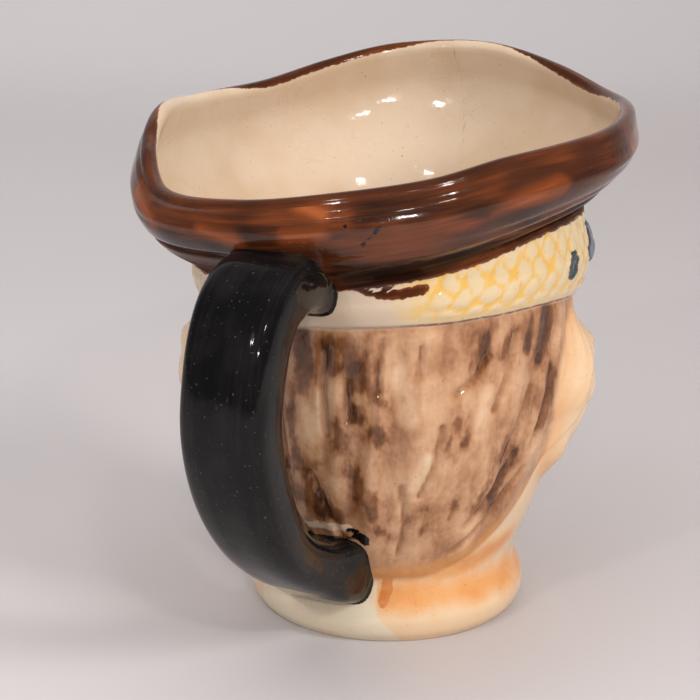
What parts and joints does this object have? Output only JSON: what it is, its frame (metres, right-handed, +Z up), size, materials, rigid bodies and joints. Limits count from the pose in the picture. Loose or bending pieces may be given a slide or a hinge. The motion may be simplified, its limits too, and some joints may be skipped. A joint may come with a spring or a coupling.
{
  "type": "toby jug",
  "caption": "Small glazed earthenware toby jug shaped as a head in a brown brimmed hat, with a black loop handle at the back.",
  "frame": {"origin": "centre of the flat foot's underside", "axes": "+Z up through the open hat; -Y is the way the face looks; +X is the figure's left"},
  "size_m": [0.0955, 0.1106, 0.104],
  "materials": {
    "glaze": "gloss"
  },
  "bodies": {
    "root": {"jug": "glaze"}
  },
  "joints": []
}
